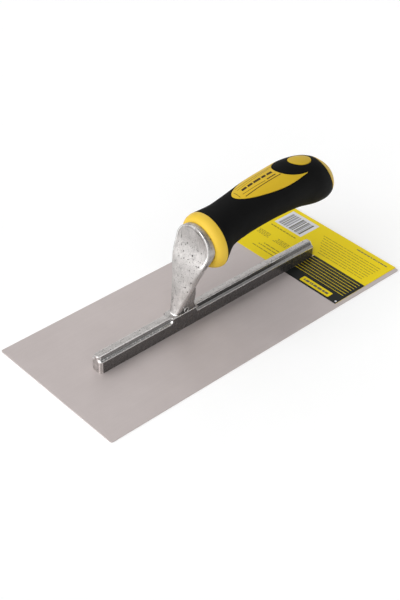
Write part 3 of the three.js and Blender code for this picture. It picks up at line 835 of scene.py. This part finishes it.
def neck_shell():
    """Flange and head in level slices: bulged towards the toe, thin at the edges, flat behind."""
    half_width, edge_x, bulge = curve(NECK_HALF), curve(NECK_EDGE), curve(NECK_BULGE)
    thick, power_at = curve(NECK_THICK), curve(NECK_POWER)
    head, radius = NECK["head_z"], NECK["head_r"]
    rising = [*np.arange(7, 16, 0.3), *np.arange(16, head, 0.7)]
    closing = head + radius * np.sin(np.linspace(0, math.pi / 2, 34))[:-1]
    turns = np.linspace(math.pi / 2, 1.5 * math.pi, NECK_FRONT + 1)
    rings = []
    for z in [*rising, *closing]:
        power = power_at(z)
        across = np.sign(np.sin(turns)) * np.abs(np.sin(turns)) ** (2 / power)
        ahead = np.abs(np.cos(turns)) ** (2 / power)
        shrink = math.sqrt(max(1 - (max(z - head, 0) / radius) ** 2, 0))
        fillet = 1.1 * max(1 - (z - NECK["foot_z"]) / 1.6, 0) ** 2 if z > NECK["foot_z"] - 0.4 else 1.1
        half, edge, out = half_width(z) * shrink + fillet * 0.6, edge_x(z), bulge(z) * shrink ** 0.35 + fillet
        front = np.stack([edge - out * ahead, half * across, np.full_like(turns, z)], axis=-1)
        back = min(edge + thick(z), NECK["rim_x"] + NECK["rim_lean"] * (NECK["rim_z"] - z))
        behind = max(half - 0.3, half / 2)
        rings.append([*map(tuple, front), (back, -behind, z), (back, behind, z)])
    skin = Skin()
    skin.loft(rings)
    size = len(rings[0])
    slice_z = np.array([ring[0][2] for ring in rings])
    # Painted highlights along the flange's side edges below 52 mm and all round the foot's fillet; the head's sides
    # take painted shade and a painted highlight.
    for k in range(len(rings) - 1):
        if slice_z[k] < 52:
            for i in (*range(3), *range(NECK_FRONT - 3, NECK_FRONT + 1), NECK_FRONT + 2):
                skin.slots[k * size + i] = PAINTED_HIGHLIGHT
        if slice_z[k] > 55:
            for i, slot in enumerate(HEAD_SIDE):
                skin.slots[k * size + i] = skin.slots[k * size + NECK_FRONT - 1 - i] = slot
        if NECK["foot_z"] - 0.4 < slice_z[k] < NECK["foot_z"] + 0.9:
            skin.slots[k * size:(k + 1) * size] = [PAINTED_HIGHLIGHT] * size
    return skin


def web_shell():
    edge_x, back_x, neck_half = curve(NECK_EDGE), curve(WEB_BACK), curve(NECK_HALF)
    foot, top, blunt = WEB_BACK[0][0], WEB_BACK[-1][0], WEB["round"]
    rings = []
    for z in np.arange(foot, top, 0.4):
        half = mix(WEB["foot_half"], WEB["top_half"], float(smoothstep(z, 13, top)))
        front, back = float(edge_x(z)) + WEB["front"], float(back_x(z))
        narrow = min(half, float(neck_half(z)) - GAP)
        side = min(back, RECESS["heel_from"])
        right = [(back, WEB["tongue_half"]), (side, half - blunt), (side - blunt * 0.3, half - blunt * 0.3),
                 (side - blunt, half), (front, narrow)]
        rings.append([(x, -y, z) for x, y in right[::-1]] + [(x, y, z) for x, y in right])
    skin = Skin()
    skin.loft(rings)
    size = len(rings[0])
    # Painted shade on the web's sides, painted highlights on its rounded corners.
    for k in range(len(rings) - 1):
        for i, slot in enumerate((PAINTED_SHADE, PAINTED_HIGHLIGHT, PAINTED_HIGHLIGHT, FACE, FACE, FACE, PAINTED_HIGHLIGHT, PAINTED_HIGHLIGHT, PAINTED_SHADE, FACE)):
            skin.slots[k * size + i] = slot
    return skin


def ejector_mark():
    """Raised ring left by an ejector pin on the web's side."""
    centre, radius, wire = (EJECTOR["x"], EJECTOR["z"]), EJECTOR["radius"], EJECTOR["wire"]
    rings = []
    for turn in full_turn(32):
        out = [(radius + wire * math.cos(a), wire * math.sin(a)) for a in full_turn(8)]
        rings.append([(centre[0] + r * math.cos(turn), d - WEB["foot_half"] + 0.02, centre[1] + r * math.sin(turn))
                      for r, d in out])
    skin = Skin()
    # The ring takes the paler copy of the metal, with painted light.
    skin.rings([*rings, rings[0]], slot=LIT_LEDGE)
    return skin


def on_axis(profile, steps=64):
    """Rings turned about the handle axis from (radius, station) pairs."""
    angles = full_turn(steps)
    c, s = math.cos(AXIS["tilt"]), math.sin(AXIS["tilt"])
    rings = []
    for radius, station in profile:
        up = radius * np.sin(angles)
        rings.append(np.stack([AXIS["x"] + station * c - up * s, radius * np.cos(angles),
                               AXIS["z"] + station * s + up * c], axis=-1))
    return rings


def fused(name, shells, materials, sharp):
    """One closed piece out of overlapping closed shells."""
    parts = [shell.piece(f"{name}_{k}", materials, 180) for k, shell in enumerate(shells)]
    whole = parts[0]
    whole.name = name
    for part in parts[1:]:
        join = whole.modifiers.new("join", "BOOLEAN")
        join.operation = "UNION"
        join.solver = "MANIFOLD"
        join.object = part
    apply_modifiers(whole)
    for part in parts[1:]:
        bpy.data.objects.remove(part)
    weld(whole)
    smooth_shade(whole, sharp)
    return whole


def turned_shell(profile):
    skin = Skin()
    skin.loft(on_axis(profile))
    return skin


def make_casting():
    spigot = turned_shell([(SPIGOT["radius"], SPIGOT["from"]), (SPIGOT["radius"], SPIGOT["to"])])
    tang = turned_shell([(TANG["root"], SPIGOT["to"] - 1), (TANG["tip"], TANG["to"])])
    shells = [rib_shell(), neck_shell(), web_shell(), spigot, tang, ejector_mark()]
    # Plain metal, then copies with painted shade, painted highlights and painted light.
    metals = [cast_aluminium("cast_aluminium"), cast_aluminium("cast_aluminium_painted_shade", flank=True),
              cast_aluminium("cast_aluminium_painted_highlight", edge=True), cast_aluminium("cast_aluminium_lit_ledge", ledge=True)]
    casting = fused("casting", shells, metals, 32)
    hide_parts("mounting_casting")
    return casting


def apply_modifiers(piece):
    """Replaces the mesh by what its modifiers make of it."""
    bpy.context.view_layer.update()
    evaluated = piece.evaluated_get(bpy.context.evaluated_depsgraph_get())
    mesh = bpy.data.meshes.new_from_object(evaluated)
    piece.modifiers.clear()
    piece.data = mesh


# ---------------------------------------------------------------- blade, rivets and label


def corner_loop(low, high, radius, steps=6):
    """Rounded rectangle in plan."""
    centres = [(high[0] - radius, low[1] + radius), (high[0] - radius, high[1] - radius),
               (low[0] + radius, high[1] - radius), (low[0] + radius, low[1] + radius)]
    loop = []
    for quarter, (x, y) in enumerate(centres):
        for turn in np.linspace(quarter - 1, quarter, steps) * math.pi / 2:
            loop.append((x + radius * math.cos(turn), y + radius * math.sin(turn)))
    return loop


def circle(x, y, radius, steps=48):
    return [(x + radius * math.cos(t), y + radius * math.sin(t)) for t in full_turn(steps)]


def rivet_centres():
    names = sorted(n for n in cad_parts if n.startswith("rivet_"))
    return {n: (box_mm(n)[0] + box_mm(n)[1]) / 2 for n in names}


def sheet_solid(skin, outline, holes, low, high, edge):
    """A flat plate with slightly rounded edges. Holes are (loop below, loop above) pairs."""
    inner = [(x - math.copysign(edge, x), y - math.copysign(edge, y)) for x, y in outline]
    levels = [(inner, low), (outline, low + edge), (outline, high - edge), (inner, high)]
    skin.rings([[(x, y, z) for x, y in loop] for loop, z in levels])
    for loop, index, z in ((inner, 0, low), (inner, 1, high)):
        flat, triangles = triangulated([loop, *(hole[index] for hole in holes)])
        skin.add([(x, y, z) for x, y in flat], [tuple(t if index else t[::-1]) for t in triangles])
    for below, above in holes:
        skin.rings([[(x, y, low) for x, y in below], [(x, y, high) for x, y in above]])


RIVET = {"head": 3.2, "cone": 1.6, "shank": 2.0}


def make_blade():
    skin = Skin()
    seat = RIVET["head"] + 0.06
    throat = seat - (seat - RIVET["shank"]) * BLADE_TOP / RIVET["cone"]
    holes = [(circle(c[0], c[1], seat), circle(c[0], c[1], throat)) for c in rivet_centres().values()]
    outline = corner_loop(BLADE_LOW, BLADE_HIGH, 1.5)
    sheet_solid(skin, outline, holes, BLADE_LOW[2], BLADE_TOP, 0.08)
    blade = skin.piece("blade_sheet", [blade_steel()], 20)
    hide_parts("blade")
    return blade


def make_rivets():
    metal = bare_metal("rivet_aluminium", (0.70, 0.69, 0.68), (0.56, 0.55, 0.54), 0.36)
    made = []
    for name, centre in rivet_centres().items():
        low, high = box_mm(name)
        profile = [(RIVET["head"] - 0.12, low[2]), (RIVET["head"], low[2] + 0.12), (RIVET["shank"], RIVET["cone"]),
                   (RIVET["shank"], high[2] - 0.3), (RIVET["shank"] - 0.3, high[2])]
        skin = Skin()
        skin.loft([[(x, y, z) for x, y in circle(centre[0], centre[1], r)] for r, z in profile])
        rivet = skin.piece(f"flush_{name}", [metal], 30)
        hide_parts(name)
        made.append(rivet)
    return made


YELLOW, BLACK, WHITE, GREY, BROWN, OLIVE, DARK = range(7)
SLOT = {"end": 105.3, "half": 5.4}  # the label's slot for the rib
BAND = SLOT["end"]  # where the label's black part ends


def label_art():
    """The printing, as (closed loop in plan, ink) areas. Later areas lie on top. Small marks stand for text."""
    draw = random.Random(11)
    areas = []

    def block(x0, y0, x1, y1, colour):
        areas.append(([(x0, y0), (x1, y0), (x1, y1), (x0, y1)], colour))

    def marks(x, low, high, height, colour, longest=5.5):
        y = low
        while y < high - 1.2:
            length = min(1.2 + draw.random() * longest, high - y)
            block(x, y, x + height, y + length, colour)
            y += length + 0.4 + draw.random() * 0.3

    inner, front = LABEL_LOW[0], LABEL_LOW[1]
    block(inner, front, BAND, -4, BLACK)
    for i in range(7):
        x = 84.2 + 3.0 * i
        block(x, front + 2.6, x + 0.42, -4, YELLOW)
        marks(x + 1.25, front + 5 + draw.random() * 6, -14 + draw.random() * 5, 0.6, OLIVE)
    areas.append((corner_loop((74.6, -47.6), (80.6, -18.8), 0.8, 4), YELLOW))
    marks(76.5, -45.2, -21, 2.2, DARK, 3.0)
    areas.append((circle(75.4, -55.0, 0.9, 12), WHITE))
    block(114.7, 18.4, 136.4, 47, WHITE)
    for y, width, colour in ((21.4, 1.5, DARK), (23.5, 0.8, GREY), (25.0, 2.6, GREY), (27.2, 0.7, DARK),
                             (29.2, 0.9, DARK), (30.6, 3.0, GREY), (32.6, 0.8, DARK), (35.2, 1.4, GREY),
                             (37.4, 2.2, GREY), (40.4, 0.9, DARK), (42.0, 2.4, GREY)):
        block(116.4, y, 133.6, y + width, colour)
    marks(109.8, 19.7, 47, 1.2, BROWN, 2.2)
    for x, low, high in ((80.2, 14.2, 37), (84.0, 14.8, 36), (87.2, 15, 31.6)):
        marks(x, low, high, 0.95, BROWN)
    for low, high in ((34, 49.4), (14.6, 30)):
        for step in range(4):
            marks(94.8 + 1.5 * step, low + draw.random() * 2, high - draw.random() * 2, 0.7, BROWN, 2.0)
    for row in range(8):
        x = 109.8 + 2.8 * row
        marks(x, -51 + draw.random() * 2, -6 + 1.9 * row + draw.random() * 2, 0.62, BROWN)
    marks(135.2, -52, -21, 1.1, DARK, 2.4)
    return areas


def edge_pairs(triangles):
    """Edges that only one of the triangles has, in its winding."""
    counted = {}
    for a, b, c in triangles:
        for edge in ((a, b), (b, c), (c, a)):
            key = (min(edge), max(edge))
            counted[key] = None if key in counted else edge
    return [edge for edge in counted.values() if edge]


def make_label():
    """Printed card, slotted for the rib and folded down over the blade's end. The printing is cut into its top."""
    low, high = LABEL_LOW, LABEL_HIGH
    slot_x, slot_half = SLOT["end"], SLOT["half"]
    outline = [(low[0], low[1]), (high[0], low[1]), (high[0], high[1]), (low[0], high[1]),
               (low[0], slot_half), (slot_x, slot_half), (slot_x, -slot_half), (low[0], -slot_half)]
    fold_x, top, under = BLADE_HIGH[0], high[2], BLADE_TOP
    areas = label_art()
    lines = [((fold_x, low[1]), (fold_x, high[1]))]
    for loop, _ in areas:
        lines.extend(zip(loop, loop[1:] + loop[:1]))
    flat, triangles = triangulated([outline], lines=lines)
    middle = flat[triangles].mean(axis=1)
    slots = np.full(len(triangles), YELLOW)
    for loop, colour in areas:
        slots[inside([loop], middle[:, 0], middle[:, 1])] = colour

    def level(z):
        return [(x, y, z) for x, y in flat]

    skin = Skin()
    for colour in range(7):
        skin.add(level(top), triangles[slots == colour], colour)
    folded = middle[:, 0] > fold_x
    sheet_edges, fold_edges = edge_pairs(triangles[~folded]), edge_pairs(triangles[folded])
    shared = {tuple(sorted(edge)) for edge in sheet_edges} & {tuple(sorted(edge)) for edge in fold_edges}
    skin.add(level(under), triangles[~folded][:, ::-1])
    skin.add(level(low[2]), triangles[folded][:, ::-1])
    for edges, levels in ((sheet_edges, (top, under)), (fold_edges, (top, under)), (fold_edges, (under, low[2]))):
        for a, b in edges:
            if tuple(sorted((a, b))) in shared and levels[0] == top:
                continue
            dark = max(flat[a][0], flat[b][0]) <= BAND and max(flat[a][1], flat[b][1]) < -4
            skin.add([(*flat[i], z) for i, z in ((a, levels[0]), (b, levels[0]), (b, levels[1]), (a, levels[1]))],
                     [(3, 2, 1, 0)], BLACK if dark else YELLOW)
    inks = [ink("card_yellow", (0.80, 0.615, 0.004), (0.86, 0.665, 0.006)),
            ink("card_black", (0.010, 0.012, 0.011), (0.016, 0.018, 0.016)),
            ink("card_white", (0.66, 0.66, 0.69), (0.73, 0.73, 0.76)),
            ink("card_grey", (0.30, 0.30, 0.31), (0.36, 0.36, 0.37)),
            ink("card_brown", (0.27, 0.20, 0.010), (0.34, 0.25, 0.014)),
            ink("card_olive", (0.055, 0.060, 0.022), (0.085, 0.092, 0.030)),
            ink("card_dark", (0.11, 0.10, 0.06), (0.15, 0.14, 0.09))]
    label = skin.piece("printed_label", inks, 30)
    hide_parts("label")
    return label


# ---------------------------------------------------------------- assembly


def dress_hidden_fasteners():
    zinc = bare_metal("zinc_steel", (0.66, 0.67, 0.69), (0.52, 0.53, 0.55), 0.32)
    for name in ("tang_washer", "tang_screw"):
        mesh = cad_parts[name].data
        mesh.materials.clear()
        mesh.materials.append(zinc)


make_camera()
make_stage()
pieces = [make_blade(), *make_rivets(), make_casting(), make_grip_core(), make_rubber_cover(), make_butt_cap(),
          make_label()]
for piece in pieces:
    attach(piece, "root")
dress_hidden_fasteners()
